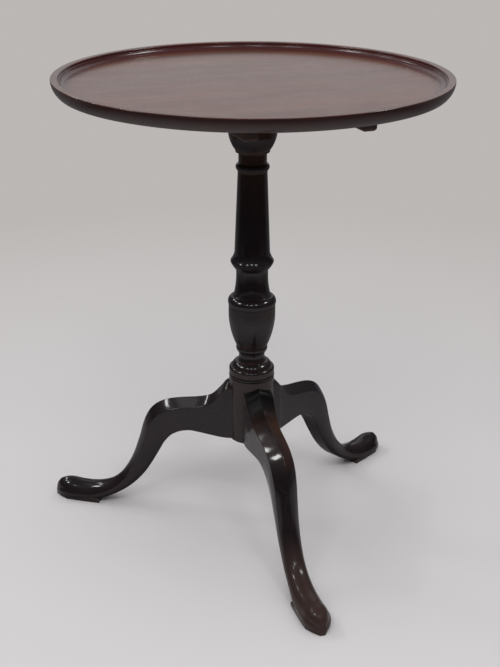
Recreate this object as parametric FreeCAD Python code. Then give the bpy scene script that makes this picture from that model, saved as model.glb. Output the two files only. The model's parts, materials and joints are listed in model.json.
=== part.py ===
import FreeCAD, Part
import math
import os

os.makedirs("parts", exist_ok=True)

# Clearances
glue_gap = 0.1
running_gap = 0.05
seat_gap = 0.3
side_gap = 0.5
overrun = 2.0

# Tray top: a turned board with a raised rim
tray_radius = 280.0
tray_thickness = 19.5
dish_depth = 10.0
lip_width = 10.5
lip_edge_width = 0.9
lip_edge_drop = 1.1
lip_inner_round = 1.8
fillet_width = 1.5
cove_width = 7.5
cove_rise = 5.6
under_turn = 9.0
quarter_bulge_share = 0.2
cove_bulge_share = 0.19
under_bulge_share = 0.11

# Bearers under the top
bearer_width = 20.0
bearer_depth = 25.0
bearer_end_depth = 23.6
bearer_half_length = 206.0
bearer_spread = 81.5
bearer_taper_length = 58.0
bearer_round = 5.5
bearer_screw_shares = (-0.86, -0.28, 0.52, 0.9)

# Countersunk screws: shank radius, head radius and head height
wood_screw = {"shank": 2.0, "head": 4.0, "height": 2.4}
brass_screw = {"shank": 1.4, "head": 2.7, "height": 1.4}
screw_bite = 7.0
screw_recess = 1.2
screw_slot_width = 0.8
screw_slot_depth = 0.7

# Tilt block and its pintles
block_thickness = 36.0
block_front = 62.0
pivot_offset = 46.0
pivot_drop = 12.0
pintle_radius = 7.0
pintle_inset = 1.0
block_corner_round = 4.0

# Tenon of the column and its wedge
tenon_radius = 17.0
wedge_top_width = 4.0
wedge_tip_width = 1.2
wedge_depth = 26.0

# Turned column, from the drum up: the height of each member and the radius it ends at
drum_radius = 34.4
collar_height = 8.5
bead_foot_radius = 33.6
bead_height = 6.5
torus_radius = 34.5
torus_foot_height = 6.5
torus_neck_radius = 31.2
torus_edge_height = 4.8
torus_quirk_radius = 30.5
torus_quirk_height = 0.4
torus_height = 8.4
scotia_radius = 21.6
scotia_height = 14.9
ring_radius = 21.0
ring_height = 10.0
urn_foot_radius = 23.2
urn_height = 58.0
urn_radius = 35.2
urn_band_height = 7.2
urn_quirk_radius = 34.7
urn_quirk_height = 0.8
urn_shoulder_radius = 36.2
urn_shoulder_height = 6.6
urn_roll_radius = 29.2
urn_roll_height = 8.0
neck_foot_radius = 27.6
neck_foot_height = 1.4
lower_neck_radius = 23.9
lower_neck_height = 38.3
knop_foot_radius = 24.8
knop_foot_height = 2.7
knop_radius = 32.6
knop_height = 12.4
shaft_foot_radius = 26.3
knop_sweep_height = 13.6
shaft_top_radius = 21.6
shaft_height = 120.6
astragal_foot_radius = 22.3
astragal_foot_height = 3.2
astragal_radius = 21.4
astragal_height = 10.0
upper_neck_radius = 20.6
neck_step_height = 0.7
upper_neck_height = 13.5
cup_foot_radius = 25.0
cup_foot_height = 2.6
cup_fillet_radius = 25.4
cup_fillet_height = 3.0
cup_radius = 35.0
cup_height = 22.4
capital_band_height = 28.5

# Bulge of each turned curve, as a share of its chord: hollow curves are negative
bead_bulge_share = 0.19
torus_edge_bulge_share = 0.2
torus_bulge_share = 0.16
scotia_bulge_share = -0.12
ring_bulge_share = 0.16
urn_bulge_share = 0.06
shoulder_bulge_share = 0.03
roll_bulge_share = 0.14
lower_neck_bulge_share = -0.035
knop_bulge_share = 0.06
knop_sweep_bulge_share = -0.035
astragal_bulge_share = 0.28
cup_foot_bulge_share = -0.1
cup_bulge_share = 0.06

# Legs: reach from the column's axis, rise at the drum, half width at the knee
leg_reach = 331.0
leg_rise = 242.0
leg_half_width = 19.0
leg_degrees = {"leg_front": -93.5, "leg_right": 26.5, "leg_left": 146.5}
root_under_share = 0.6116

# Leg sections from the root to the toe, as shares: ridge reach, ridge height, underside reach,
# underside height, half width, drop of the arris in the section, half width below, roundness
leg_section_shares = (
    (0.073, 1.004, 0.073, 0.608, 1.14, 0.10, 1.00, 0.02),
    (0.106, 0.998, 0.106, 0.608, 1.14, 0.10, 1.00, 0.02),
    (0.125, 0.980, 0.125, 0.610, 1.14, 0.11, 1.00, 0.02),
    (0.145, 0.943, 0.145, 0.612, 1.13, 0.12, 1.00, 0.01),
    (0.194, 0.874, 0.199, 0.620, 1.08, 0.16, 1.00, 0.01),
    (0.257, 0.847, 0.251, 0.627, 1.03, 0.20, 1.00, 0.01),
    (0.332, 0.831, 0.293, 0.629, 1.00, 0.22, 0.99, 0.01),
    (0.402, 0.810, 0.332, 0.617, 0.98, 0.24, 0.98, 0.01),
    (0.453, 0.779, 0.360, 0.599, 0.97, 0.25, 0.96, 0.02),
    (0.489, 0.738, 0.384, 0.576, 0.96, 0.26, 0.94, 0.03),
    (0.515, 0.684, 0.408, 0.539, 0.94, 0.27, 0.92, 0.05),
    (0.535, 0.616, 0.432, 0.490, 0.91, 0.28, 0.90, 0.06),
    (0.557, 0.512, 0.458, 0.421, 0.87, 0.30, 0.87, 0.08),
    (0.585, 0.397, 0.489, 0.343, 0.83, 0.33, 0.84, 0.10),
    (0.616, 0.306, 0.527, 0.262, 0.81, 0.36, 0.80, 0.13),
    (0.656, 0.225, 0.574, 0.186, 0.79, 0.40, 0.76, 0.16),
    (0.701, 0.169, 0.628, 0.122, 0.80, 0.44, 0.78, 0.18),
    (0.752, 0.138, 0.698, 0.064, 0.84, 0.46, 0.86, 0.18),
    (0.810, 0.122, 0.779, 0.025, 0.91, 0.48, 0.98, 0.18),
    (0.870, 0.122, 0.864, 0.017, 0.97, 0.51, 1.02, 0.18),
    (0.924, 0.134, 0.931, 0.017, 0.93, 0.53, 1.03, 0.18),
    (0.970, 0.122, 0.973, 0.017, 0.62, 0.54, 1.05, 0.18),
    (0.995, 0.087, 0.998, 0.017, 0.24, 0.50, 1.08, 0.18),
)

# Pointed pad under each foot
pad_thickness = 8.0
pad_length = 79.0
pad_nose_length = 22.0
pad_heel_half_width = 19.8
pad_front_half_width = 18.4
pad_tip_half_width = 4.0
pad_edge_round = 2.0
pad_side_bulge_share = 0.01
pad_nose_bulge_share = 0.03

# Dovetail tongue of each leg
tongue_end = 16.0
tongue_neck_half_width = 6.5
tongue_tail_half_width = 10.0
tongue_top_drop = 14.0
tongue_root = 8.0

# Iron brace under the drum and the legs
brace_thickness = 2.6
brace_hub_radius = 27.0
brace_half_width = 11.0
brace_reach = 88.0
brace_end_rise = 4.6
brace_inner_screw = 51.0
brace_outer_screw = 78.0
brace_screw_radius = 1.8
brace_screw_length = 14.0
brace_head_radius = 3.6
brace_head_height = 1.6
brace_head_face_share = 0.62

# Catch under the front half of the top
case_gap = 3.0
case_length = 62.0
case_wall = 2.0
case_roof = 5.0
case_flange_width = 9.0
bolt_width = 10.0
bolt_height = 7.0
bolt_length = 42.0
bolt_fit = 0.2
bolt_throw = 8.0
bolt_nose_gap = 1.0
bolt_bevel = 4.0
knob_stem_radius = 1.7
knob_stem_gap = 1.2
knob_place_share = 0.62
knob_stem_bite = 4.0
knob_neck = 2.5
knob_radius = 5.0
knob_height = 8.0
knob_face_share = 0.45
spring_folds = 4
spring_strip = 0.7
spring_width = 5.0
case_screw_inset = 7.0

# Keep plate on the front face of the block
keep_thickness = 2.0
keep_half_width = 16.0
keep_margin = 5.0
keep_hole_gap = 1.0
keep_mortise_room = 3.0
keep_screw_share = 0.72
keep_screw_length = 12.0

# Heights and places that follow
drum_bottom = leg_rise * root_under_share
drum_height = leg_rise - drum_bottom + collar_height
column_members = (
    (drum_radius, drum_height, 0),
    (bead_foot_radius, 0, 0),
    (bead_foot_radius, bead_height, bead_bulge_share),
    (torus_radius, 0, 0),
    (torus_radius, torus_foot_height, 0),
    (torus_neck_radius, torus_edge_height, torus_edge_bulge_share),
    (torus_quirk_radius, torus_quirk_height, 0),
    (scotia_radius, torus_height, torus_bulge_share),
    (ring_radius, scotia_height, scotia_bulge_share),
    (urn_foot_radius, ring_height, ring_bulge_share),
    (urn_radius, urn_height, urn_bulge_share),
    (urn_radius, urn_band_height, 0),
    (urn_quirk_radius, 0, 0),
    (urn_quirk_radius, urn_quirk_height, 0),
    (urn_radius, 0, 0),
    (urn_shoulder_radius, urn_shoulder_height, shoulder_bulge_share),
    (urn_roll_radius, urn_roll_height, roll_bulge_share),
    (neck_foot_radius, neck_foot_height, 0),
    (lower_neck_radius, lower_neck_height, lower_neck_bulge_share),
    (knop_foot_radius, knop_foot_height, 0),
    (knop_radius, knop_height, knop_bulge_share),
    (shaft_foot_radius, knop_sweep_height, knop_sweep_bulge_share),
    (shaft_top_radius, shaft_height, 0),
    (astragal_foot_radius, astragal_foot_height, 0),
    (astragal_radius, astragal_height, astragal_bulge_share),
    (upper_neck_radius, neck_step_height, 0),
    (upper_neck_radius, upper_neck_height, 0),
    (cup_foot_radius, cup_foot_height, cup_foot_bulge_share),
    (cup_fillet_radius, cup_fillet_height, 0),
    (cup_radius, cup_height, cup_bulge_share),
    (cup_radius, capital_band_height, 0),
)
block_bottom = drum_bottom + sum(height for radius, height, bulge in column_members)
block_top = block_bottom + block_thickness
underside = block_top + seat_gap
tray_top_height = underside + tray_thickness
field_height = tray_top_height - dish_depth
pivot_height = underside - pivot_drop
bearer_inner = bearer_spread - bearer_width / 2
block_half_width = bearer_inner - side_gap
block_nose_radius = pivot_drop - seat_gap
case_front = -block_front - case_gap
case_back = case_front - case_length
bolt_tip = -block_front - bolt_nose_gap
bolt_back = bolt_tip - bolt_length
bolt_top = underside - case_roof - bolt_fit
bolt_bottom = bolt_top - bolt_height
case_inner_half = bolt_width / 2 + bolt_fit
case_floor = bolt_bottom - bolt_fit
case_bottom = case_floor - case_wall
flange_half_width = case_inner_half + case_wall + case_flange_width
case_outer_half = case_inner_half + case_wall
knob_place = bolt_tip - bolt_length * knob_place_share
keep_high = block_top - seat_gap
keep_low = bolt_bottom - keep_hole_gap - keep_margin
brace_slope = math.atan2(brace_end_rise, brace_reach - drum_radius)
brace_screw_reaches = (brace_inner_screw, brace_outer_screw)
pad_heel_reach = leg_reach - pad_length
pad_front_reach = leg_reach - pad_nose_length

up = FreeCAD.Vector(0, 0, 1)
along = FreeCAD.Vector(0, 1, 0)
across = FreeCAD.Vector(1, 0, 0)
middle = FreeCAD.Vector(0, 0, 0)


def point(x, y, z):
    return FreeCAD.Vector(x, y, z)


def save(name, *shapes):
    whole = shapes[0] if len(shapes) == 1 else Part.makeCompound(list(shapes))
    whole.exportStep("parts/" + name + ".step")


def box(x_low, x_high, y_low, y_high, z_low, z_high):
    return Part.makeBox(x_high - x_low, y_high - y_low, z_high - z_low, point(x_low, y_low, z_low))


def curve(start, end, bulge_share, outward):
    if not bulge_share:
        return Part.LineSegment(start, end).toShape()
    peak = (start + end) * 0.5 + outward * (bulge_share * (end - start).Length)
    return Part.Arc(start, peak, end).toShape()


def turned(start, steps):
    edges = []
    at = point(start[0], 0, start[1])
    for radius, height, bulge_share in steps:
        end = point(radius, 0, height)
        run = end - at
        outward = point(run.z, 0, -run.x)
        outward.normalize()
        edges.append(curve(at, end, bulge_share, outward))
        at = end
    face = Part.Face(Part.Wire(edges))
    return face.revolve(middle, up, 360)


def slab(corners, thickness_vector):
    return Part.Face(Part.makePolygon(list(corners) + [corners[0]])).extrude(thickness_vector)


def turn_about_column(shape, degrees):
    shape.rotate(middle, up, degrees)
    return shape


def screw_solid(kind, seat, direction, length, gap=0):
    head = Part.makeCone(kind["head"] + gap, kind["shank"] + gap, kind["height"], seat, direction)
    return head.fuse(Part.makeCylinder(kind["shank"] + gap, length, seat, direction))


def countersunk_screw(kind, seat, direction, length):
    slot = Part.makeBox(kind["head"] * 2 + overrun, screw_slot_width, screw_slot_depth + overrun)
    slot.translate(point(-kind["head"] - overrun / 2, -screw_slot_width / 2, -overrun))
    slot.Placement = FreeCAD.Placement(seat, FreeCAD.Rotation(up, direction)).multiply(slot.Placement)
    return screw_solid(kind, seat, direction, length).cut(slot)


def screw_room(kind, seat, direction, length):
    start = seat - direction * bearer_depth
    mouth = Part.makeCylinder(kind["head"] + glue_gap, bearer_depth, start, direction)
    return screw_solid(kind, seat, direction, length, glue_gap).fuse(mouth)


def bearer_depth_at(y):
    tapered = max(0, abs(y) - bearer_half_length + bearer_taper_length)
    return bearer_depth - (bearer_depth - bearer_end_depth) * tapered / bearer_taper_length


def bearer_screw_places(side):
    x = side * bearer_spread
    places = []
    for share in bearer_screw_shares:
        y = share * bearer_half_length
        places.append(point(x, y, underside - bearer_depth_at(y) + screw_recess))
    return places


def bearer_screw_length(seat):
    return underside + screw_bite - seat.z


def case_screw_places():
    x = case_outer_half + case_flange_width / 2
    ends = (case_back + case_screw_inset, case_front - case_screw_inset)
    return [point(side * x, y, underside - case_wall) for side in (-1, 1) for y in ends]


def make_tray():
    lip_inner = tray_radius - lip_width
    fillet_inner = lip_inner - fillet_width
    field_radius = fillet_inner - cove_width
    fillet_height = field_height + cove_rise
    steps = (
        (tray_radius - under_turn, underside, 0),
        (tray_radius, tray_top_height - lip_edge_drop, under_bulge_share),
        (tray_radius - lip_edge_width, tray_top_height, quarter_bulge_share),
        (lip_inner + lip_inner_round, tray_top_height, 0),
        (lip_inner, tray_top_height - lip_inner_round, quarter_bulge_share),
        (lip_inner, fillet_height, 0),
        (fillet_inner, fillet_height, 0),
        (field_radius, field_height, -cove_bulge_share),
        (0, field_height, 0),
        (0, underside, 0),
    )
    tray = turned((0, underside), steps)
    holes = []
    for seat in bearer_screw_places(-1) + bearer_screw_places(1):
        holes.append(screw_solid(wood_screw, seat, up, bearer_screw_length(seat), glue_gap))
    for seat in case_screw_places():
        holes.append(screw_solid(brass_screw, seat, up, case_wall + screw_bite, glue_gap))
    return tray.cut(holes)


def make_bearer(side):
    end = bearer_half_length
    flat = bearer_half_length - bearer_taper_length
    inner = side * bearer_spread - bearer_width / 2
    deep = underside - bearer_depth
    shallow = underside - bearer_end_depth
    places = (
        (-end, underside), (-end, shallow), (-flat, deep), (flat, deep), (end, shallow), (end, underside)
    )
    bar = slab([point(inner, y, z) for y, z in places], across * bearer_width)
    lower_edges = []
    for edge in bar.Edges:
        centre = edge.CenterOfMass
        at_bend = abs(abs(centre.y) - flat) < glue_gap
        if centre.z < shallow + glue_gap and not at_bend:
            lower_edges.append(edge)
    bar = bar.makeFillet(bearer_round, lower_edges)
    pivot = point(inner - overrun, pivot_offset, pivot_height)
    hole = Part.makeCylinder(pintle_radius + running_gap, bearer_width + overrun * 2, pivot, across)
    rooms = [hole]
    for seat in bearer_screw_places(side):
        rooms.append(screw_room(wood_screw, seat, up, bearer_screw_length(seat)))
    return bar.cut(rooms)


def make_bearer_screws(side):
    screws = []
    for seat in bearer_screw_places(side):
        screws.append(countersunk_screw(wood_screw, seat, up, bearer_screw_length(seat)))
    return screws


def keep_screw_places():
    x = keep_half_width * keep_screw_share
    return [point(side * x, -block_front, (bolt_top + bolt_bottom) / 2) for side in (-1, 1)]


def bolt_opening(depth):
    half = bolt_width / 2 + keep_hole_gap
    return box(
        -half, half, -block_front - overrun, -block_front + depth,
        bolt_bottom - keep_hole_gap, bolt_top + keep_hole_gap,
    )


def make_block():
    width = block_half_width
    nose_end = pivot_offset + block_nose_radius
    body = box(-width, width, -block_front, pivot_offset, block_bottom, block_top)
    front_corners = []
    for edge in body.Edges:
        centre = edge.CenterOfMass
        if abs(centre.y + block_front) < glue_gap and abs(abs(centre.x) - width) < glue_gap:
            front_corners.append(edge)
    body = body.makeFillet(block_corner_round, front_corners)
    tail = box(-width, width, pivot_offset - overrun, nose_end, block_bottom, pivot_height)
    axis_start = point(-width, pivot_offset, pivot_height)
    nose = Part.makeCylinder(block_nose_radius, width * 2, axis_start, across)
    reach = bearer_spread + bearer_width / 2 - pintle_inset
    pintles = Part.makeCylinder(pintle_radius, reach * 2, point(-reach, pivot_offset, pivot_height), across)
    block = body.fuse([tail, nose, pintles]).removeSplitter()
    tenon_hole = Part.makeCylinder(
        tenon_radius + glue_gap, block_thickness + overrun * 2, point(0, 0, block_bottom - overrun), up
    )
    plate_room = box(
        -keep_half_width - glue_gap, keep_half_width + glue_gap, -block_front - overrun,
        -block_front + keep_thickness, keep_low - glue_gap, block_top + overrun,
    )
    rooms = [tenon_hole, plate_room, bolt_opening(keep_thickness + bolt_throw + keep_mortise_room)]
    for seat in keep_screw_places():
        rooms.append(screw_solid(brass_screw, seat, along, keep_screw_length, glue_gap))
    return block.cut(rooms)


def make_keep_plate():
    plate = box(
        -keep_half_width, keep_half_width, -block_front, -block_front + keep_thickness, keep_low, keep_high
    )
    rooms = [bolt_opening(keep_thickness + overrun)]
    for seat in keep_screw_places():
        rooms.append(screw_solid(brass_screw, seat, along, keep_screw_length, glue_gap))
    return plate.cut(rooms)


def wedge_slab(gap):
    top = wedge_top_width / 2 + gap
    tip = wedge_tip_width / 2 + gap
    low = block_top - wedge_depth - gap
    corners = ((-top, block_top + gap), (top, block_top + gap), (tip, low), (-tip, low))
    reach = tenon_radius + overrun
    return slab([point(-reach, y, z) for y, z in corners], across * (reach * 2))


def make_wedge():
    return wedge_slab(0).common(Part.makeCylinder(tenon_radius, block_top, middle, up))


def tongue(gap):
    neck = tongue_neck_half_width + gap
    tail = tongue_tail_half_width + gap
    root = drum_radius + tongue_root
    start = tongue_end - gap
    plan = (
        (start, -tail), (drum_radius, -neck), (root, -neck), (root, neck), (drum_radius, neck), (start, tail)
    )
    low = drum_bottom - (overrun if gap else 0)
    high = leg_rise - tongue_top_drop + gap
    return slab([point(x, y, low) for x, y in plan], up * (high - low))


def make_column():
    steps = [(drum_radius, drum_bottom, 0)]
    height = drum_bottom
    for radius, rise, bulge_share in column_members:
        height += rise
        steps.append((radius, height, bulge_share))
    steps += [(tenon_radius, block_bottom, 0), (tenon_radius, block_top, 0)]
    steps += [(0, block_top, 0), (0, drum_bottom, 0)]
    column = turned((0, drum_bottom), steps)
    rooms = [wedge_slab(glue_gap)]
    rooms += [turn_about_column(tongue(glue_gap), turn) for turn in leg_degrees.values()]
    rooms.append(Part.makeCylinder(brace_screw_radius + glue_gap, brace_screw_length, hub_seat(), up))
    return column.cut(rooms)


def bowed(start, end, share, centre):
    run = end - start
    outward = (start + end) * 0.5 - centre
    outward = outward - run * (outward.dot(run) / run.dot(run))
    outward.normalize()
    return curve(start, end, share, outward)


def leg_section(shares):
    ridge_reach, ridge_rise, sole_reach, sole_rise, width, drop, lower, roundness = shares
    ridge = point(ridge_reach * leg_reach, 0, ridge_rise * leg_rise)
    sole = point(sole_reach * leg_reach, 0, sole_rise * leg_rise)
    centre = (ridge + sole) * 0.5
    arris = ridge + (sole - ridge) * drop
    side = along * (width * leg_half_width)
    corners = (ridge, arris + side, sole + side * lower, sole - side * lower, arris - side)
    edges = [
        bowed(corners[0], corners[1], roundness, centre),
        bowed(corners[1], corners[2], roundness, centre),
        curve(corners[2], corners[3], 0, up),
        bowed(corners[3], corners[4], roundness, centre),
        bowed(corners[4], corners[0], roundness, centre),
    ]
    return Part.Wire(edges)


def make_pad():
    places = (
        (pad_heel_reach, -pad_heel_half_width, 0),
        (pad_front_reach, -pad_front_half_width, pad_side_bulge_share),
        (leg_reach, -pad_tip_half_width, pad_nose_bulge_share),
        (leg_reach, pad_tip_half_width, pad_nose_bulge_share),
        (pad_front_reach, pad_front_half_width, pad_nose_bulge_share),
        (pad_heel_reach, pad_heel_half_width, pad_side_bulge_share),
        (pad_heel_reach, -pad_heel_half_width, 0),
    )
    centre = point(pad_front_reach, 0, 0)
    edges = []
    for here, there in zip(places, places[1:]):
        edges.append(bowed(point(here[0], here[1], 0), point(there[0], there[1], 0), there[2], centre))
    pad = Part.Face(Part.Wire(edges)).extrude(up * pad_thickness)
    upper = [edge for edge in pad.Edges if abs(edge.CenterOfMass.z - pad_thickness) < glue_gap]
    return pad.makeFillet(pad_edge_round, upper)


def hub_seat():
    return point(0, 0, drum_bottom - brace_thickness)


def brace_profile(end_gap, depth):
    end_height = drum_bottom + brace_end_rise
    return (
        (0, drum_bottom),
        (drum_radius, drum_bottom),
        (brace_reach + end_gap, end_height),
        (brace_reach + end_gap, end_height - depth),
        (drum_radius, drum_bottom - depth),
        (0, drum_bottom - depth),
    )


def brace_arm(gap, depth):
    half = brace_half_width + gap
    corners = [point(x, -half, z) for x, z in brace_profile(gap, depth)]
    return slab(corners, along * (half * 2))


def on_brace_slope(shape, reach):
    shape.rotate(middle, along, -math.degrees(brace_slope))
    run = reach - drum_radius
    shape.translate(point(reach, 0, drum_bottom - brace_thickness + run * math.tan(brace_slope)))
    return shape


def brace_screw():
    head = Part.makeCone(
        brace_head_radius * brace_head_face_share, brace_head_radius, brace_head_height,
        up * -brace_head_height, up,
    )
    slot = box(
        -brace_head_radius, brace_head_radius, -screw_slot_width / 2, screw_slot_width / 2,
        -brace_head_height - overrun, -brace_head_height + screw_slot_depth,
    )
    return head.cut(slot).fuse(Part.makeCylinder(brace_screw_radius, brace_screw_length))


def brace_screw_rooms():
    radius = brace_screw_radius + glue_gap
    rooms = []
    for reach in brace_screw_reaches:
        room = Part.makeCylinder(radius, brace_screw_length + overrun * 2, up * -overrun, up)
        rooms.append(on_brace_slope(room, reach))
    return rooms


def make_leg(turn):
    limb = Part.makeLoft([leg_section(shares) for shares in leg_section_shares], True, False)
    drum = Part.makeCylinder(drum_radius + glue_gap, leg_rise * 2, middle, up)
    limb = limb.cut(drum)
    limb = limb.fuse([tongue(0), make_pad()])
    limb = limb.cut([brace_arm(glue_gap, brace_thickness * 2)] + brace_screw_rooms())
    return turn_about_column(limb, turn)


def make_brace():
    hub = Part.makeCylinder(brace_hub_radius, brace_thickness, hub_seat(), up)
    arms = [turn_about_column(brace_arm(0, brace_thickness), turn) for turn in leg_degrees.values()]
    holes = [Part.makeCylinder(brace_screw_radius + glue_gap, drum_bottom, middle, up)]
    for turn in leg_degrees.values():
        holes += [turn_about_column(room, turn) for room in brace_screw_rooms()]
    return hub.fuse(arms).removeSplitter().cut(holes)


def make_brace_screws():
    centre = brace_screw()
    centre.translate(hub_seat())
    screws = [centre]
    for turn in leg_degrees.values():
        for reach in brace_screw_reaches:
            screws.append(turn_about_column(on_brace_slope(brace_screw(), reach), turn))
    return screws


def make_case():
    flange = box(
        -flange_half_width, flange_half_width, case_back, case_front, underside - case_wall, underside
    )
    hull = box(-case_outer_half, case_outer_half, case_back, case_front, case_bottom, underside)
    tunnel = box(
        -case_inner_half, case_inner_half, case_back + case_wall, case_front + overrun,
        case_floor, underside - case_roof,
    )
    slot_half = knob_stem_radius + knob_stem_gap / 2
    slot = box(
        -slot_half, slot_half, knob_place - slot_half, knob_place + bolt_throw + slot_half,
        case_bottom - overrun, case_floor + overrun,
    )
    rooms = [tunnel, slot]
    for seat in case_screw_places():
        rooms.append(screw_solid(brass_screw, seat, up, case_wall + screw_bite, glue_gap))
    return flange.fuse(hull).removeSplitter().cut(rooms)


def make_case_screws():
    screws = []
    for seat in case_screw_places():
        screws.append(countersunk_screw(brass_screw, seat, up, case_wall + screw_bite))
    return screws


def make_bolt():
    half = bolt_width / 2
    sides = (
        (bolt_back, bolt_bottom), (bolt_tip - bolt_bevel, bolt_bottom), (bolt_tip, bolt_bottom + bolt_bevel),
        (bolt_tip, bolt_top), (bolt_back, bolt_top),
    )
    bar = slab([point(-half, y, z) for y, z in sides], across * bolt_width)
    return bar.cut(
        Part.makeCylinder(
            knob_stem_radius + glue_gap, knob_stem_bite + glue_gap + overrun,
            point(0, knob_place, bolt_bottom - overrun), up,
        )
    )


def make_knob():
    neck_low = case_bottom - knob_neck
    low = neck_low - knob_height
    stem_top = bolt_bottom + knob_stem_bite
    steps = (
        (knob_radius * knob_face_share, low, 0),
        (knob_radius, (low + neck_low) / 2, quarter_bulge_share),
        (knob_stem_radius, neck_low, quarter_bulge_share),
        (knob_stem_radius, stem_top, 0),
        (0, stem_top, 0),
        (0, low, 0),
    )
    knob = turned((0, low), steps)
    knob.translate(along * knob_place)
    return knob


def make_spring():
    half = case_inner_half - bolt_fit
    start = bolt_back - glue_gap
    end = case_back + case_wall + glue_gap + spring_strip
    low = (bolt_top + bolt_bottom - spring_width) / 2
    step = (end - start) / spring_folds
    runs = []
    for fold in range(spring_folds):
        x = half if fold % 2 else -half
        y = start + step * fold
        places = ((x, y), (-x, y + step), (-x, y + step - spring_strip), (x, y - spring_strip))
        runs.append(slab([point(px, py, low) for px, py in places], up * spring_width))
    return runs[0].fuse(runs[1:]).removeSplitter()


save("tray_top", make_tray())
save("bearer_left", make_bearer(-1))
save("bearer_right", make_bearer(1))
save("bearer_screws_left", *make_bearer_screws(-1))
save("bearer_screws_right", *make_bearer_screws(1))
save("tilt_block", make_block())
save("tenon_wedge", make_wedge())
save("column", make_column())
for leg_name, leg_turn in leg_degrees.items():
    save(leg_name, make_leg(leg_turn))
save("leg_brace", make_brace())
save("brace_screws", *make_brace_screws())
save("catch_case", make_case())
save("catch_screws", *make_case_screws())
save("catch_bolt", make_bolt())
save("catch_knob", make_knob())
save("catch_spring", make_spring())
save("keep_plate", make_keep_plate())
keep_screws = [countersunk_screw(brass_screw, seat, along, keep_screw_length) for seat in keep_screw_places()]
save("keep_screws", *keep_screws)
print("table height %.1f, tray diameter %.1f" % (tray_top_height, tray_radius * 2))
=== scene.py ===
import json
import math

import bmesh
import bpy
from mathutils import Matrix, Vector

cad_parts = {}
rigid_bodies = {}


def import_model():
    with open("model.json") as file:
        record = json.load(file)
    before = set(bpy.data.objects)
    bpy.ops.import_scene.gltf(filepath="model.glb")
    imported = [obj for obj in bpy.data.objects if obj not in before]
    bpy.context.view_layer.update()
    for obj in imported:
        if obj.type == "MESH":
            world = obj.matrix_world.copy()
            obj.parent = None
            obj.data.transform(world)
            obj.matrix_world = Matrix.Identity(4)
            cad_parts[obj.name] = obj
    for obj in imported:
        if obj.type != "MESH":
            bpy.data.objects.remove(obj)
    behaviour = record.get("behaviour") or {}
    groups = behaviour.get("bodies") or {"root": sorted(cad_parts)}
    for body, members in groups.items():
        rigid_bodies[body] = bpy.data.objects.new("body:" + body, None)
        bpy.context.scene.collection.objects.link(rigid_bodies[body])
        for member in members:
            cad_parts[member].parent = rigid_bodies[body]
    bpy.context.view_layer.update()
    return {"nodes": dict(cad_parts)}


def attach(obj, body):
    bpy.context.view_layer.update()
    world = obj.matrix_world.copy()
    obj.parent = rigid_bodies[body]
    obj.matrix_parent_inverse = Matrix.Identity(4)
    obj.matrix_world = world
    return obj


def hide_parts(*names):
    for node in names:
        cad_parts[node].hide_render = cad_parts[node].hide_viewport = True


for spare in list(bpy.data.objects):
    bpy.data.objects.remove(spare)
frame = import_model()
print("frame loaded with", len(frame["nodes"]), "nodes")


# shared helpers

shop = {"smoothDegrees": 32, "mergeDistance": 0.000002}
quarter = math.pi / 2


def addNode(tree, kind, **values):
    node = tree.nodes.new(kind)
    for key, value in values.items():
        setattr(node, key, value)
    return node


def setInputs(node, **values):
    for key, value in values.items():
        node.inputs[key].default_value = value
    return node


def newLook(name):
    look = bpy.data.materials.new(name)
    look.use_nodes = True
    return look, look.node_tree, look.node_tree.nodes["Principled BSDF"]


def objectPlace(tree):
    return addNode(tree, "ShaderNodeTexCoord").outputs["Object"]


def surfaceNormal(tree):
    return addNode(tree, "ShaderNodeNewGeometry").outputs["Normal"]


def mapped(tree, vector, **values):
    node = setInputs(addNode(tree, "ShaderNodeMapping"), **values)
    tree.links.new(vector, node.inputs["Vector"])
    return node.outputs["Vector"]


def split(tree, vector):
    node = addNode(tree, "ShaderNodeSeparateXYZ")
    tree.links.new(vector, node.inputs["Vector"])
    return node.outputs


def stretchedNoise(tree, space, stretch, detail, roughness, distortion):
    noise = addNode(tree, "ShaderNodeTexNoise")
    setInputs(noise, Scale=1.0, Detail=detail, Roughness=roughness, Distortion=distortion)
    tree.links.new(mapped(tree, space, Scale=stretch), noise.inputs["Vector"])
    return noise.outputs["Fac"]


def grained(tree, turn, shift, grains):
    space = mapped(tree, objectPlace(tree), Rotation=turn, Location=shift)
    return {kind: stretchedNoise(tree, space, *values) for kind, values in grains.items()}


# distance from the upright middle line
def fromAxis(tree, shift=(0, 0, 0), stretch=(1, 1, 0)):
    measure = addNode(tree, "ShaderNodeVectorMath", operation="LENGTH")
    tree.links.new(mapped(tree, objectPlace(tree), Location=shift, Scale=stretch), measure.inputs[0])
    return measure.outputs["Value"]


def ranged(tree, value, low, high, toLow=0.0, toHigh=1.0):
    node = addNode(tree, "ShaderNodeMapRange")
    setInputs(node, **{"From Min": low, "From Max": high, "To Min": toLow, "To Max": toHigh})
    tree.links.new(value, node.inputs["Value"])
    return node.outputs["Result"]


def maths(tree, how, first, second):
    node = addNode(tree, "ShaderNodeMath", operation=how)
    for socket, value in zip(node.inputs, (first, second)):
        if isinstance(value, (int, float)):
            socket.default_value = value
        else:
            tree.links.new(value, socket)
    return node.outputs["Value"]


def times(tree, first, second):
    return maths(tree, "MULTIPLY", first, second)


def weighed(tree, grain, shares):
    total = 0
    for kind, share in shares.items():
        total = maths(tree, "ADD", times(tree, grain[kind], share), total)
    return total


def blended(tree, factor, first, second):
    node = addNode(tree, "ShaderNodeMix", data_type="RGBA")
    tree.links.new(factor, node.inputs["Factor"])
    for socket, value in ((node.inputs[6], first), (node.inputs[7], second)):    # the colour sockets
        if isinstance(value, tuple):
            socket.default_value = (*value, 1.0)
        else:
            tree.links.new(value, socket)
    return node.outputs[2]


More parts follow.
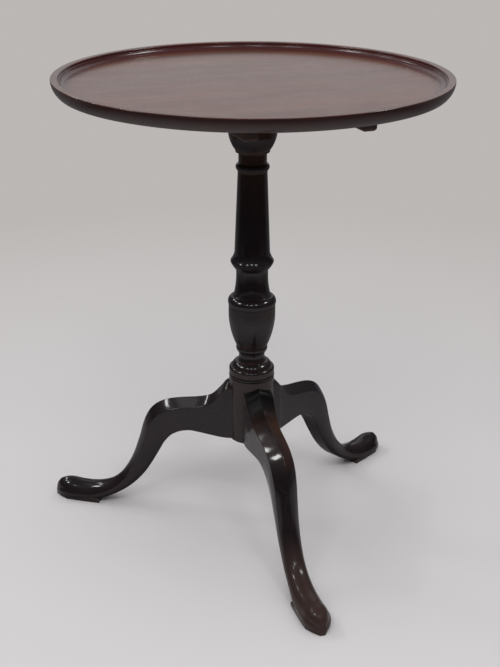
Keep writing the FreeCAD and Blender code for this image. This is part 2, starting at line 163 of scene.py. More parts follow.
def shaded(tree, value, stops, colours):
    node = addNode(tree, "ShaderNodeValToRGB")
    ramp = node.color_ramp
    while len(ramp.elements) < len(stops):
        ramp.elements.new(stops[1])
    for element, stop, colour in zip(ramp.elements, stops, colours):
        element.position = stop
        element.color = (*colour, 1.0)
    tree.links.new(value, node.inputs["Fac"])
    return node.outputs["Color"]


def bumped(tree, height, distance, strength, under=None):
    node = setInputs(addNode(tree, "ShaderNodeBump"), Distance=distance, Strength=strength)
    tree.links.new(height, node.inputs["Height"])
    if under:
        tree.links.new(under, node.inputs["Normal"])
    return node.outputs["Normal"]


def finished(bm, name, look, body, nodeNames):
    mesh = bpy.data.meshes.new(name)
    bm.to_mesh(mesh)
    bm.free()
    mesh.materials.append(look)
    mesh.polygons.foreach_set("use_smooth", [True] * len(mesh.polygons))
    mesh.set_sharp_from_angle(angle=math.radians(shop["smoothDegrees"]))
    piece = bpy.data.objects.new(name, mesh)
    bpy.context.scene.collection.objects.link(piece)
    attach(piece, body)
    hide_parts(*nodeNames)
    flatten = piece.modifiers.new("flatFaces", "WEIGHTED_NORMAL")    # flat faces stay flat beside eased edges
    flatten.keep_sharp = True
    return piece


def softened(bm, edges, width, segments):
    bmesh.ops.bevel(bm, geom=edges, offset=width, offset_type="OFFSET", segments=segments,
                    profile=0.5, affect="EDGES", clamp_overlap=True, material=-1)


def easeEdges(bm, degrees, width, segments):
    sharp = [edge for edge in bm.edges if len(edge.link_faces) == 2
             and edge.calc_face_angle() > math.radians(degrees)]
    softened(bm, sharp, width, segments)


# the turner's outline goes from point to point: radius, height, bulge as a share of the chord
def turnedShape(outline, arcSteps, turns):
    bm = bmesh.new()
    radius, height, bulge = outline[0]
    last = bm.verts.new((radius, 0, height))
    for radius, height, bulge in outline[1:]:
        here = last.co.copy()
        there = Vector((radius, 0, height))
        if bulge:
            chord = there - here
            out = Vector((chord.z, 0, -chord.x)).normalized()
            rise = bulge * chord.length
            arcRadius = (chord.length_squared / 4 + rise * rise) / (2 * rise)
            centre = (here + there) / 2 + out * (rise - arcRadius)
            made = bmesh.ops.spin(bm, geom=[last], cent=centre, axis=(0, 1, 0), dvec=(0, 0, 0),
                                  angle=-4 * math.atan(2 * bulge), steps=arcSteps)
            last = next(part for part in made["geom_last"] if isinstance(part, bmesh.types.BMVert))
        else:
            last = bmesh.ops.extrude_vert_indiv(bm, verts=[last])["verts"][0]
        last.co = there
    bmesh.ops.spin(bm, geom=bm.verts[:] + bm.edges[:], cent=(0, 0, 0), axis=(0, 0, 1),
                   dvec=(0, 0, 0), angle=math.tau, steps=turns, use_merge=True)
    bmesh.ops.remove_doubles(bm, verts=bm.verts[:], dist=shop["mergeDistance"])
    bmesh.ops.recalc_face_normals(bm, faces=bm.faces[:])
    return bm


# polished mahogany

polish = {
    "dark": (0.0064, 0.0054, 0.0062),
    "middle": (0.0108, 0.0070, 0.0077),
    "light": (0.0220, 0.0106, 0.0100),
    # painted light: the warm tone of the lit facets on the front leg
    "litWarm": (0.0640, 0.0270, 0.0140),
    "rim": (0.0200, 0.0098, 0.0112),
    "rimInside": (0.0560, 0.0125, 0.0130),
    "pore": (0.0030, 0.0014, 0.0010),
    "topDark": (0.072, 0.0215, 0.0095),
    "topMiddle": (0.108, 0.0330, 0.0140),
    "topLight": (0.165, 0.0550, 0.0225),
    "rubbed": (0.0800, 0.0300, 0.0140),
    "scuffed": (0.0460, 0.0280, 0.0240),
    # painted shade: the dark tone for the corner by the column
    "cornerShadeTone": (0.0045, 0.0036, 0.0040),
    # stretch along and across the grain, detail, roughness, distortion
    "grains": {
        "ribbon": ((1.3, 21, 21), 4, 0.5, 0.35),
        "streak": ((7, 190, 190), 5, 0.6, 0.2),
        "cross": ((46, 9, 9), 2, 0.5, 0.6),
        "cloud": ((3.2, 5.5, 5.5), 3, 0.5, 0),
        "pores": ((150, 2400, 2400), 2, 0.5, 0),
        "smear": ((11, 24, 24), 5, 0.62, 0.4),
        "waves": ((9, 26, 26), 1, 0.4, 0),
    },
    "figure": {"ribbon": 0.46, "streak": 0.30, "cross": 0.08, "cloud": 0.20},    # share of each grain
    "toneStops": (0.36, 0.50, 0.70),
    "poreFrom": (0.60, 0.70), "poreShare": 0.65, "poreRoughness": 0.22,
    "poreDepth": 0.00006, "poreStrength": 0.5,
    "waveDepth": 0.00014, "waveStrength": 0.35,
    "edgeFrom": (0.53, 0.62), "edgePatches": (0.38, 0.66), "rubbedShare": 0.35,
    "roughness": (0.32, 0.72, 0.24, 0.40),
    "specular": 0.06,
    "coat": 1.0,
    "coatIor": 1.38,
    "coatRoughness": 0.11,
    "topCoatRoughness": 0.19,    # hand-rubbed, so lamps show as a soft glow
    "dullCoat": 0.15,
    "dullFacing": (-0.40, -0.12),    # faces turned to the floor were left dull
}


def waxedRim(tree, wood, rim):
    radius = fromAxis(tree)
    height = split(tree, objectPlace(tree))["Z"]
    oldWax = times(tree, ranged(tree, radius, *rim["radii"]), ranged(tree, height, *rim["lip"]))
    outside = ranged(tree, radius, *rim["inside"])
    return blended(tree, oldWax, wood, blended(tree, outside, polish["rimInside"], polish["rim"]))


# painted light on up- and right-facing facets, kicks, wax, and painted shade in the corner by the column;
# hands back the wood and the share of gloss that is left
def wornAndLitWood(tree, wood, grain, wornAndLit):
    facing = split(tree, surfaceNormal(tree))
    height = split(tree, objectPlace(tree))["Z"]
    radius = fromAxis(tree)
    # painted light: up- and right-facing facets above the foot are warmed and lightened where light falls on
    # them
    paintedLitFacets = times(tree, ranged(tree, facing["Z"], *wornAndLit["facingUp"]), ranged(tree, height, *wornAndLit["heights"]))
    paintedLitFacets = times(tree, paintedLitFacets, ranged(tree, facing["X"], *wornAndLit["facingRight"]))
    paintedLitFacets = times(tree, paintedLitFacets, ranged(tree, grain["ribbon"], *wornAndLit["patches"]))
    wood = blended(tree, paintedLitFacets, wood, polish["litWarm"])
    kicked = times(tree, ranged(tree, height, *wornAndLit["kicked"]),
                   ranged(tree, grain["cloud"], *wornAndLit["kickPatches"]))
    wood = blended(tree, kicked, wood, polish["scuffed"])
    topFacets = ranged(tree, facing["Z"], *wornAndLit["topFacets"])
    waxed = times(tree, topFacets, ranged(tree, radius, *wornAndLit["waxed"]))
    # painted shade: top facets close to the column are darkened, and lose gloss, in the corner under the tray
    cornerShade = times(tree, topFacets, ranged(tree, radius, *wornAndLit["cornerShade"]))
    wood = blended(tree, cornerShade, wood, polish["cornerShadeTone"])
    glossLeft = ranged(tree, maths(tree, "MAXIMUM", kicked, waxed), 0, 1, 1, polish["dullCoat"])
    return wood, times(tree, glossLeft, maths(tree, "SUBTRACT", 1, cornerShade))


def polishedMahogany(name, turn, shift, tones=("dark", "middle", "light"), rim=None, wornAndLit=None):
    look, tree, shader = newLook(name)
    grain = grained(tree, turn, shift, polish["grains"])
    figure = weighed(tree, grain, polish["figure"])
    wood = shaded(tree, figure, polish["toneStops"], [polish[tone] for tone in tones])
    if rim:
        wood = waxedRim(tree, wood, rim)
    if wornAndLit:
        wood, glossLeft = wornAndLitWood(tree, wood, grain, wornAndLit)
    pores = ranged(tree, grain["pores"], *polish["poreFrom"])
    wood = blended(tree, times(tree, pores, polish["poreShare"]), wood, polish["pore"])
    edge = addNode(tree, "ShaderNodeNewGeometry").outputs["Pointiness"]
    rubbing = times(tree, ranged(tree, edge, *polish["edgeFrom"]),
                    ranged(tree, grain["cloud"], *polish["edgePatches"]))
    wood = blended(tree, times(tree, rubbing, polish["rubbedShare"]), wood, polish["rubbed"])
    tree.links.new(wood, shader.inputs["Base Color"])
    rough = maths(tree, "ADD", ranged(tree, grain["smear"], *polish["roughness"]),
                  times(tree, pores, polish["poreRoughness"]))
    tree.links.new(rough, shader.inputs["Roughness"])
    if rim:
        setInputs(shader, **{"Coat Weight": polish["coat"]})
    else:
        coat = ranged(tree, split(tree, surfaceNormal(tree))["Z"], *polish["dullFacing"],
                      polish["dullCoat"], polish["coat"])
        if wornAndLit:
            coat = times(tree, coat, glossLeft)
        tree.links.new(coat, shader.inputs["Coat Weight"])
    normal = bumped(tree, grain["waves"], polish["waveDepth"], polish["waveStrength"])
    wholeWood = maths(tree, "SUBTRACT", 1, pores)
    normal = bumped(tree, wholeWood, polish["poreDepth"], polish["poreStrength"], normal)
    tree.links.new(normal, shader.inputs["Normal"])
    rubbedCoat = polish["topCoatRoughness"] if rim else polish["coatRoughness"]
    setInputs(shader, **{"Coat Roughness": rubbedCoat, "Coat IOR": polish["coatIor"],
                         "Specular IOR Level": polish["specular"]})
    return look


# dry mahogany, for what was never polished

dry = {
    # old unpolished wood, darkened further as painted shade for the pieces under the tray
    "tones": ((0.014, 0.0060, 0.0035), (0.036, 0.0150, 0.0080), (0.075, 0.0330, 0.0170)),
    "toneStops": (0.38, 0.52, 0.70),
    "dust": (0.100, 0.0720, 0.0500), "dustFrom": (0.52, 0.78, 0.0, 0.28),
    # stretch along and across the grain, detail, roughness, distortion
    "grains": {
        "ribbon": ((2.2, 34, 34), 4, 0.55, 0.3),
        "streak": ((9, 260, 260), 5, 0.62, 0.2),
        "stain": ((7, 9, 9), 4, 0.6, 0.8),
        "plane": ((5, 120, 120), 3, 0.6, 0),
        "fibre": ((140, 2100, 2100), 2, 0.5, 0),
    },
    "figure": {"ribbon": 0.45, "streak": 0.40, "stain": 0.18},
    "roughness": (0.3, 0.7, 0.55, 0.82),
    "planeDepth": 0.00022, "fibreDepth": 0.000073333, "strength": 0.5,
}


def dryMahogany(name, turn, shift):
    look, tree, shader = newLook(name)
    grain = grained(tree, turn, shift, dry["grains"])
    wood = shaded(tree, weighed(tree, grain, dry["figure"]), dry["toneStops"], dry["tones"])
    wood = blended(tree, ranged(tree, grain["stain"], *dry["dustFrom"]), wood, dry["dust"])
    tree.links.new(wood, shader.inputs["Base Color"])
    tree.links.new(ranged(tree, grain["streak"], *dry["roughness"]), shader.inputs["Roughness"])
    normal = bumped(tree, grain["plane"], dry["planeDepth"], dry["strength"])
    normal = bumped(tree, grain["fibre"], dry["fibreDepth"], dry["strength"], normal)
    tree.links.new(normal, shader.inputs["Normal"])
    return look


# old metals

metal = {
    "catchBrass": {"clean": (0.52, 0.34, 0.13), "tarnish": (0.13, 0.070, 0.026), "spread": (0.44, 0.66),
                   "roughness": (0.24, 0.52), "metallic": (1.0, 0.8), "scale": 95, "pit": 0.00008},
    "braceIron": {"clean": (0.075, 0.068, 0.062), "tarnish": (0.070, 0.030, 0.016), "spread": (0.46, 0.62),
                  "roughness": (0.42, 0.78), "metallic": (0.9, 0.25), "scale": 70, "pit": 0.00022},
    "springSteel": {"clean": (0.36, 0.36, 0.37), "tarnish": (0.12, 0.085, 0.060), "spread": (0.52, 0.72),
                    "roughness": (0.26, 0.50), "metallic": (1.0, 0.85), "scale": 160, "pit": 0.00004},
}
# the same for all three; the stretches are multiples of the metal's scale
tarnishing = {
    "grains": {"patch": ((1, 1, 1), 6, 0.62, 0.5), "fine": ((12, 4, 12), 3, 0.6, 0)},
    "shift": (0.3, 0.1, 0.2),
    "figure": {"patch": 0.8, "fine": 0.2},
    "fineGloss": (0.3, 0.7, -0.06, 0.08),
    "strength": 0.6,
}


def oldMetal(name):
    finish = metal[name]
    look, tree, shader = newLook(name)
    grains = {kind: (tuple(part * finish["scale"] for part in stretch), *rest)
              for kind, (stretch, *rest) in tarnishing["grains"].items()}
    grain = grained(tree, (0, 0, 0), tarnishing["shift"], grains)
    mottled = weighed(tree, grain, tarnishing["figure"])
    age = ranged(tree, mottled, *finish["spread"])
    tree.links.new(blended(tree, age, finish["clean"], finish["tarnish"]), shader.inputs["Base Color"])
    tree.links.new(ranged(tree, age, 0, 1, *finish["metallic"]), shader.inputs["Metallic"])
    rough = maths(tree, "ADD", ranged(tree, age, 0, 1, *finish["roughness"]),
                  ranged(tree, grain["fine"], *tarnishing["fineGloss"]))
    tree.links.new(rough, shader.inputs["Roughness"])
    normal = bumped(tree, mottled, finish["pit"], tarnishing["strength"])
    tree.links.new(normal, shader.inputs["Normal"])
    return look


# tray top

tray = {
    "outline": (
        (0.0, 0.6918, 0), (0.2710, 0.6918, 0), (0.2799, 0.7102, 0.11), (0.2790, 0.7113, 0.20),
        (0.2713, 0.7113, 0), (0.2695, 0.7095, 0.20), (0.2695, 0.7069, 0), (0.2680, 0.7069, 0),
        (0.2605, 0.7013, -0.19), (0.0, 0.7013, 0),
    ),
    "arcSteps": 12, "turns": 240, "easeDegrees": 24, "easeWidth": 0.00045, "easeSegments": 3,
    "grainTurn": (0, 0, 0), "grainShift": (0.11, 0.37, 0.05),
    "tones": ("topDark", "topMiddle", "topLight"),
    "rim": {"radii": (0.249, 0.2600), "lip": (0.7100, 0.7112, 0.92, 0.30), "inside": (0.2700, 0.2735)},
    "bareBelow": 0.98,    # faces turned down as far as this are bare
}
topPolish = polishedMahogany("topPolish", tray["grainTurn"], tray["grainShift"], tray["tones"], tray["rim"])
bareTop = dryMahogany("bareTop", tray["grainTurn"], tray["grainShift"])
trayShape = turnedShape(tray["outline"], tray["arcSteps"], tray["turns"])
easeEdges(trayShape, tray["easeDegrees"], tray["easeWidth"], tray["easeSegments"])
trayTop = finished(trayShape, "trayTop", topPolish, "top", ["tray_top"])
trayTop.data.materials.append(bareTop)    # the underside was never polished
for face in trayTop.data.polygons:
    if face.normal.z < -tray["bareBelow"]:
        face.material_index = 1
print("tray turned:", len(trayTop.data.polygons), "faces")


# column

column = {
    "foot": 0.148007,
    # radius and rise in millimetres, bulge as a share of the chord
    "members": (
        (34.4, 102.493, 0), (33.6, 0, 0), (33.6, 6.5, 0.19), (34.5, 0, 0), (34.5, 6.5, 0),
        (31.2, 4.8, 0.2), (30.5, 0.4, 0), (21.6, 8.4, 0.16), (21.0, 14.9, -0.12), (23.2, 10.0, 0.16),
        (35.2, 58.0, 0.06), (35.2, 7.2, 0), (34.7, 0, 0), (34.7, 0.8, 0), (35.2, 0, 0),
        (36.2, 6.6, 0.03), (29.2, 8.0, 0.14), (27.6, 1.4, 0), (23.9, 38.3, -0.035), (24.8, 2.7, 0),
        (32.6, 12.4, 0.06), (26.3, 13.6, -0.06), (21.6, 120.6, 0), (22.3, 3.2, 0), (21.4, 10.0, 0.28),
        (20.6, 0.7, 0), (20.6, 13.5, 0), (25.0, 2.6, -0.10), (25.4, 3.0, 0), (35.0, 22.4, 0.06),
        (35.0, 28.5, 0),
    ),
    "perMetre": 1000,
    "tenon": 0.017, "tenonTop": 0.6915,
    "arcSteps": 10, "turns": 160, "easeDegrees": 20, "easeWidth": 0.0002, "easeSegments": 3,
    "knopHeight": 0.4374, "knopWithin": 0.00002, "knopSoft": 0.0016, "knopSegments": 5,
    "grainTurn": (0, quarter, 0), "grainShift": (0.0, 0.21, 0.43),
}
columnPolish = polishedMahogany("columnPolish", column["grainTurn"], column["grainShift"])
columnHeight = column["foot"]
drumRadius = column["members"][0][0] / column["perMetre"]
columnOutline = [(0.0, columnHeight, 0), (drumRadius, columnHeight, 0)]
for radius, rise, bulge in column["members"]:
    columnHeight += rise / column["perMetre"]
    columnOutline.append((radius / column["perMetre"], columnHeight, bulge))
columnOutline += [(column["tenon"], columnHeight, 0), (column["tenon"], column["tenonTop"], 0),
                  (0.0, column["tenonTop"], 0)]
columnShape = turnedShape(columnOutline, column["arcSteps"], column["turns"])
knopRing = [edge for edge in columnShape.edges
            if all(abs(vert.co.z - column["knopHeight"]) < column["knopWithin"] for vert in edge.verts)]
softened(columnShape, knopRing, column["knopSoft"], column["knopSegments"])
easeEdges(columnShape, column["easeDegrees"], column["easeWidth"], column["easeSegments"])
finished(columnShape, "column.turned", columnPolish, "base", ["column"])
print("column turned to", round(columnHeight, 4), "m")


# legs

leg = {
    "reach": 0.331, "rise": 0.242, "halfWidth": 0.019,
    "degrees": {"leg_front": -93.5, "leg_right": 26.5, "leg_left": 146.5},
    # ridge reach and height, underside reach and height, half width, arris drop, lower width, roundness
    "sections": (
        (0.073, 1.004, 0.073, 0.613, 1.14, 0.10, 1.00, 0.02),
        (0.106, 0.998, 0.106, 0.610, 1.14, 0.10, 1.00, 0.02),
        (0.125, 0.980, 0.125, 0.611, 1.14, 0.11, 1.00, 0.02),
        (0.145, 0.943, 0.145, 0.612, 1.13, 0.12, 1.00, 0.01),
        (0.194, 0.874, 0.199, 0.620, 1.08, 0.16, 1.00, 0.01),
        (0.257, 0.847, 0.251, 0.627, 1.03, 0.20, 1.00, 0.01),
        (0.332, 0.831, 0.293, 0.629, 1.00, 0.22, 0.99, 0.01),
        (0.402, 0.810, 0.332, 0.617, 0.98, 0.24, 0.98, 0.01),
        (0.453, 0.779, 0.360, 0.599, 0.97, 0.25, 0.96, 0.02),
        (0.489, 0.738, 0.384, 0.576, 0.96, 0.26, 0.94, 0.03),
        (0.515, 0.684, 0.408, 0.539, 0.94, 0.27, 0.92, 0.05),
        (0.535, 0.616, 0.432, 0.490, 0.91, 0.28, 0.90, 0.06),
        (0.557, 0.512, 0.458, 0.421, 0.87, 0.30, 0.87, 0.08),
        (0.585, 0.397, 0.489, 0.343, 0.83, 0.33, 0.84, 0.10),
        (0.616, 0.306, 0.527, 0.262, 0.81, 0.36, 0.80, 0.13),
        (0.656, 0.225, 0.574, 0.186, 0.79, 0.40, 0.76, 0.16),
        (0.701, 0.169, 0.628, 0.122, 0.80, 0.44, 0.78, 0.18),
        (0.752, 0.138, 0.698, 0.064, 0.84, 0.46, 0.86, 0.18),
        (0.810, 0.122, 0.779, 0.025, 0.91, 0.48, 0.98, 0.18),
        (0.870, 0.122, 0.864, 0.017, 0.97, 0.51, 1.02, 0.18),
        (0.924, 0.134, 0.931, 0.017, 0.93, 0.53, 1.03, 0.18),
        (0.970, 0.122, 0.973, 0.017, 0.62, 0.54, 1.05, 0.18),
        (0.995, 0.087, 0.998, 0.017, 0.24, 0.50, 1.08, 0.18),
    ),
    "between": 5, "facetSteps": 4,
    "ridgeSoft": 0.0007, "arrisSoft": 0.0007, "soleSoft": 0.0010, "softSegments": 3,
    "grainLean": 38, "grainShift": (0.1, 0.3, 0.2), "shiftTurn": 90,    # no two legs show the same grain
    # painted light on the front leg's up- and right-facing facets, kicks at the foot, wax, and painted shade
    # in the corner by the column
    "wornAndLit": {"leg_front": {"facingUp": (0.30, 0.75), "facingRight": (-0.15, 0.35, 0.2, 1.0),
                           "heights": (0.15, 0.20), "patches": (0.36, 0.58, 0.3, 1.0),
                           "kicked": (0.085, 0.040), "kickPatches": (0.30, 0.60, 0.45, 0.95),
                           "topFacets": (0.20, 0.40), "waxed": (0.118, 0.106), "cornerShade": (0.078, 0.050)}},
}


# fills in rows along a smooth curve through the given ones
def smoothRows(rows, steps):
    padded = [rows[0]] + list(rows) + [rows[-1]]
    filled = []
    for index in range(len(rows) - 1):
        before, start, end, after = padded[index:index + 4]
        for step in range(steps):
            t = step / steps
            filled.append([0.5 * (2 * b + (c - a) * t + (2 * a - 5 * b + 4 * c - d) * t * t
                                  + (3 * b - a - 3 * c + d) * t ** 3)
                           for a, b, c, d in zip(before, start, end, after)])
    return filled + [list(rows[-1])]


def bowedRun(start, end, share, centre, steps):
    run = end - start
    out = (start + end) / 2 - centre
    out = (out - run * (out.dot(run) / run.dot(run))).normalized()
    lift = share * run.length
    return [start + run * (step / steps) + out * (lift * 4 * (step / steps) * (1 - step / steps))
            for step in range(steps)]


def legSection(bm, row):
    ridgeReach, ridgeRise, soleReach, soleRise, width, drop, lower, roundness = row
    ridge = Vector((ridgeReach * leg["reach"], 0, ridgeRise * leg["rise"]))
    sole = Vector((soleReach * leg["reach"], 0, soleRise * leg["rise"]))
    centre = (ridge + sole) / 2
    arris = ridge.lerp(sole, drop)
    side = Vector((0, width * leg["halfWidth"], 0))
    corners = [ridge, arris + side, sole + side * lower, sole - side * lower, arris - side]
    shares = (roundness, roundness, 0, roundness, roundness)
    points = []
    for corner, following, share in zip(corners, corners[1:] + corners[:1], shares):
        points += bowedRun(corner, following, share, centre, leg["facetSteps"])
    ring = [bm.verts.new(point) for point in points]
    edges = [bm.edges.new((ring[index - 1], ring[index])) for index in range(len(ring))]
    return ring, edges


def softenLine(bm, line, width):
    edges = [edge for edge in (bm.edges.get(pair) for pair in zip(line, line[1:])) if edge]
    softened(bm, edges, width, leg["softSegments"])


pad = {
    "thickness": 0.008,
    # reach and half width from heel to tip
    "plan": ((0.252, 0.0198), (0.281, 0.0196), (0.309, 0.0184), (0.3206, 0.0117), (0.331, 0.0040)),
    "topSoft": 0.002, "soleSoft": 0.0008, "softSegments": 3,
}


def footPad(bm):
    near = [(x, -y) for x, y in pad["plan"]]
    far = list(reversed(pad["plan"]))
    sole = bm.faces.new([bm.verts.new((x, y, 0)) for x, y in near + far])
    raised = bmesh.ops.extrude_face_region(bm, geom=[sole], use_keep_orig=True)["geom"]
    lid = [part for part in raised if isinstance(part, bmesh.types.BMVert)]
    bmesh.ops.translate(bm, verts=lid, vec=(0, 0, pad["thickness"]))
    rimEdges = [part for part in raised if isinstance(part, bmesh.types.BMEdge)]
    softened(bm, rimEdges, pad["topSoft"], pad["softSegments"])
    softened(bm, list(sole.edges), pad["soleSoft"], pad["softSegments"])


def carvedLeg(nodeName, degrees):
    bm = bmesh.new()
    rings = [legSection(bm, row) for row in smoothRows(leg["sections"], leg["between"])]
    for (ring, edges), (nextRing, nextEdges) in zip(rings, rings[1:]):
        bmesh.ops.bridge_loops(bm, edges=edges + nextEdges)
    for ring, edges in (rings[0], rings[-1]):
        bm.faces.new(ring)
    bmesh.ops.recalc_face_normals(bm, faces=bm.faces[:])
    widths = (leg["ridgeSoft"], leg["arrisSoft"], leg["soleSoft"], leg["soleSoft"], leg["arrisSoft"])
    lines = [[ring[index * leg["facetSteps"]] for ring, edges in rings] for index in range(len(widths))]
    for line, width in zip(lines, widths):
        softenLine(bm, line, width)
    footPad(bm)
    bmesh.ops.recalc_face_normals(bm, faces=bm.faces[:])
    turn = math.radians(degrees)
    bmesh.ops.rotate(bm, verts=bm.verts[:], cent=(0, 0, 0), matrix=Matrix.Rotation(turn, 3, "Z"))
    along, across, up = leg["grainShift"]
    shift = (along + degrees / leg["shiftTurn"], across, up)
    look = polishedMahogany("polish." + nodeName, (0, math.radians(leg["grainLean"]), -turn), shift,
                            wornAndLit=leg["wornAndLit"].get(nodeName))
    return finished(bm, nodeName + ".carved", look, "base", [nodeName])


for nodeName, degrees in leg["degrees"].items():
    piece = carvedLeg(nodeName, degrees)
    print(nodeName, "carved:", len(piece.data.polygons), "faces")


# plain joinery and hardware, with eased edges

joinery = {
    "mergeDistance": 0.000005, "flatDegrees": 0.5, "easeDegrees": 38, "easeSegments": 2,
    # turn and shift of the grain
    "woods": {
        "underWood": ((0, 0, quarter), (0.4, 0.1, 0.2)),
        "blockWood": ((0, 0, 0), (0.8, 0.6, 0.3)),
        "wedgeWood": ((0, quarter, 0), (0.2, 0.9, 0.1)),
    },
    # body, slot, look, width of the eased edges
    "pieces": {
        "bearer_left": ("top", "dry_mahogany", "underWood", 0.0008),
        "bearer_right": ("top", "dry_mahogany", "underWood", 0.0008),
        "tilt_block": ("base", "dry_mahogany", "blockWood", 0.0010),
        "tenon_wedge": ("base", "dry_mahogany", "wedgeWood", 0.0002),
        "leg_brace": ("base", "iron", "braceIron", 0.0004),
        "brace_screws": ("base", "iron", "braceIron", 0.00012),
        "bearer_screws_left": ("top", "iron", "braceIron", 0.00012),
        "bearer_screws_right": ("top", "iron", "braceIron", 0.00012),
        "catch_case": ("top", "brass", "catchBrass", 0.0003),
        "catch_screws": ("top", "brass", "catchBrass", 0.0001),
        "catch_bolt": ("catch_slide", "brass", "catchBrass", 0.0003),
        "catch_knob": ("catch_slide", "brass", "catchBrass", 0.0003),
        "keep_plate": ("base", "brass", "catchBrass", 0.0003),
        "keep_screws": ("base", "brass", "catchBrass", 0.0001),
    },
}
joineryLooks = {name: dryMahogany(name, *grain) for name, grain in joinery["woods"].items()}
joineryLooks.update({name: oldMetal(name) for name in metal})
for nodeName, (body, slotName, lookName, width) in joinery["pieces"].items():
    bm = bmesh.new()
    bm.from_mesh(frame["nodes"][nodeName].data)
    bmesh.ops.remove_doubles(bm, verts=bm.verts[:], dist=joinery["mergeDistance"])
    bmesh.ops.dissolve_limit(bm, angle_limit=math.radians(joinery["flatDegrees"]),
                             verts=bm.verts[:], edges=bm.edges[:])
    easeEdges(bm, joinery["easeDegrees"], width, joinery["easeSegments"])
    finished(bm, nodeName + ".eased", joineryLooks[lookName], body, [nodeName])
for slot in frame["nodes"]["catch_spring"].material_slots:    # the thin spring keeps its own shape
    slot.material = joineryLooks["springSteel"]
print("joinery and hardware eased:", len(joinery["pieces"]))


# floor, lights and camera

studio = {
    "eye": (-0.6065, -1.5737, 1.0279), "heading": (0.35806, 0.93370), "pitch": 22.79, "roll": 0.004,
    "lens": 65.05, "filmHeight": 36.0,
    "floor": (0.655, 0.639, 0.642), "floorRoughness": 0.9, "floorSpecular": 0.1, "floorHalf": 14.0,
    "farPaper": (0.50, 0.475, 0.460), "farFrom": (0.5, 1.7),
    "ceiling": (0.95, 0.935, 0.95), "dimWall": (0.048, 0.048, 0.060), "ceilingFrom": (0.15, 0.75),
    "mirroredCeiling": 0.176,
    "card": (0.004, 0.004, 0.0045), "cardFrom": (0.15, 1.10), "cardShift": 0.35, "cardSideways": 0.6,
    "cardBack": (0.6, 0.0, 0.80, 1.0), "cardHalf": 6.0, "cardLift": 0.001,
    # turn from the camera side, elevation, distance, width, height, watts
    "lamps": {
        "leftBack": (-129, 35, 2.4, 0.34, 0.13, 3),
        "leftFar": (-107, 38.5, 2.4, 0.34, 0.16, 4),
        "leftTop": (-112, 57, 2.4, 0.60, 0.50, 0.8),
        "leftBox": (-76, 41, 2.4, 0.42, 0.42, 14),
        "rightBox": (92, 46, 2.4, 0.48, 0.48, 18),
        "lampLeft": (-30, 46, 2.6, 0.34, 0.34, 5),
        "lampMiddle": (-3, 46, 2.6, 0.34, 0.34, 5),
        "lampRight": (25, 46, 2.6, 0.34, 0.34, 5),
        "backWash": (180, 24, 2.6, 2.6, 1.5, 5.0),
        "frontFill": (10, 58, 3.0, 2.8, 2.4, 15),
    },
    "onlyMirrored": ("leftBox", "rightBox", "backWash"), "onlyFill": ("frontFill",),
    "aim": (0, 0, 0.45),
}
forward = Vector((*studio["heading"], 0)).normalized()
rightward = Vector((forward.y, -forward.x, 0))


def placed(item, name):
    thing = bpy.data.objects.new(name, item)
    bpy.context.scene.collection.objects.link(thing)
    return thing


for name, (turn, lift, away, width, height, watts) in studio["lamps"].items():
    lamp = bpy.data.lights.new(name, "AREA")
    lamp.shape = "RECTANGLE"
    lamp.size = width
    lamp.size_y = height
    lamp.energy = watts
    side = -forward * math.cos(math.radians(turn)) + rightward * math.sin(math.radians(turn))
    reachOut = side * math.cos(math.radians(lift)) + Vector((0, 0, math.sin(math.radians(lift))))
    holder = placed(lamp, name)
    holder.location = Vector(studio["aim"]) + reachOut * away
    holder.rotation_euler = (-reachOut).to_track_quat("-Z", "Y").to_euler()
    holder.visible_diffuse = name not in studio["onlyMirrored"]
    holder.visible_glossy = name not in studio["onlyFill"]

world = bpy.data.worlds.new("studioAir")
bpy.context.scene.world = world
world.use_nodes = True
air = world.node_tree
skyward = split(air, addNode(air, "ShaderNodeTexCoord").outputs["Generated"])["Z"]
rays = addNode(air, "ShaderNodeLightPath").outputs
overhead = times(air, ranged(air, skyward, *studio["ceilingFrom"]),
                 ranged(air, rays["Is Glossy Ray"], 0, 1, 1, studio["mirroredCeiling"]))
around = blended(air, overhead, studio["dimWall"], studio["ceiling"])
backdrop = blended(air, rays["Is Camera Ray"], around, studio["farPaper"])
air.links.new(backdrop, air.nodes["Background"].inputs["Color"])


def laidFlat(name, half, look, lift=0):
    bm = bmesh.new()
    bmesh.ops.create_grid(bm, x_segments=1, y_segments=1, size=half)
    bmesh.ops.translate(bm, verts=bm.verts[:], vec=(0, 0, lift))
    mesh = bpy.data.meshes.new(name)
    bm.to_mesh(mesh)
    bm.free()
    mesh.materials.append(look)
    return placed(mesh, name)


def mixedLook(tree, factor, nearShader, farShader):
    mixed = addNode(tree, "ShaderNodeMixShader")
    tree.links.new(factor, mixed.inputs["Fac"])
    tree.links.new(nearShader, mixed.inputs[1])
    tree.links.new(farShader, mixed.inputs[2])
    tree.links.new(mixed.outputs["Shader"], tree.nodes["Material Output"].inputs["Surface"])


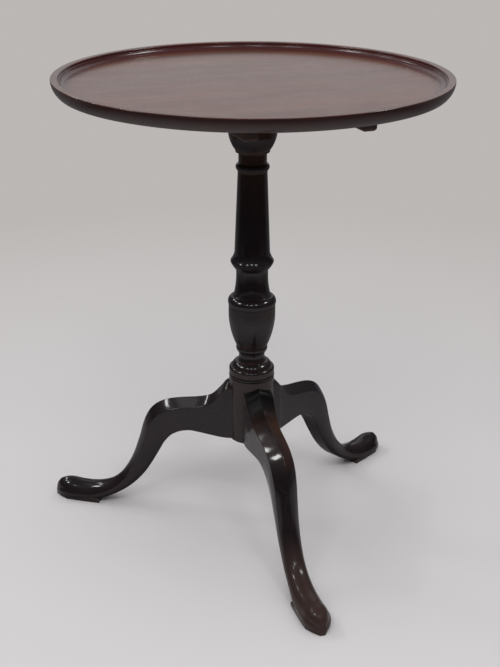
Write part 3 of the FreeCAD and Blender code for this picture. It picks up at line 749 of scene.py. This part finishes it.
# the pale floor fades into the backdrop
floorLook, floorTree, floorShader = newLook("palePaper")
setInputs(floorShader, **{"Base Color": (*studio["floor"], 1.0), "Roughness": studio["floorRoughness"],
                          "Specular IOR Level": studio["floorSpecular"]})
farPaper = setInputs(addNode(floorTree, "ShaderNodeEmission"), Color=(*studio["farPaper"], 1.0), Strength=1.0)
seen = addNode(floorTree, "ShaderNodeLightPath").outputs["Is Camera Ray"]
farShare = times(floorTree, seen, ranged(floorTree, fromAxis(floorTree), *studio["farFrom"]))
mixedLook(floorTree, farShare, floorShader.outputs["BSDF"], farPaper.outputs["Emission"])
paleFloor = laidFlat("paleFloor", studio["floorHalf"], floorLook)

# the dark card shows in the polish alone
cardLook, cardTree, cardShader = newLook("darkCard")
setInputs(cardShader, **{"Base Color": (*studio["card"], 1.0), "Roughness": 1.0, "Specular IOR Level": 0.0})
clear = addNode(cardTree, "ShaderNodeBsdfTransparent")
cardBack = ranged(cardTree, split(cardTree, objectPlace(cardTree))["Y"], *studio["cardBack"])
cardAway = fromAxis(cardTree, (0, studio["cardShift"], 0), (studio["cardSideways"], 1, 0))
cardShare = times(cardTree, cardBack, ranged(cardTree, cardAway, *studio["cardFrom"]))
mixedLook(cardTree, cardShare, clear.outputs["BSDF"], cardShader.outputs["BSDF"])
darkCard = laidFlat("darkCard", studio["cardHalf"], cardLook, studio["cardLift"])
darkCard.rotation_euler.z = math.atan2(rightward.y, rightward.x)
darkCard.visible_camera = False
darkCard.visible_diffuse = False
darkCard.visible_shadow = False

lens = bpy.data.cameras.new("photoCamera")
lens.lens = studio["lens"]
lens.sensor_fit = "VERTICAL"
lens.sensor_height = studio["filmHeight"]
photoCamera = placed(lens, "photoCamera")
pitch = math.radians(studio["pitch"])
sight = forward * math.cos(pitch) - Vector((0, 0, math.sin(pitch)))
facing = sight.to_track_quat("-Z", "Y").to_matrix() @ Matrix.Rotation(studio["roll"], 3, "Z")
photoCamera.matrix_world = Matrix.Translation(studio["eye"]) @ facing.to_4x4()
bpy.context.scene.camera = photoCamera
bpy.context.scene.view_settings.view_transform = "Standard"
print("studio ready")
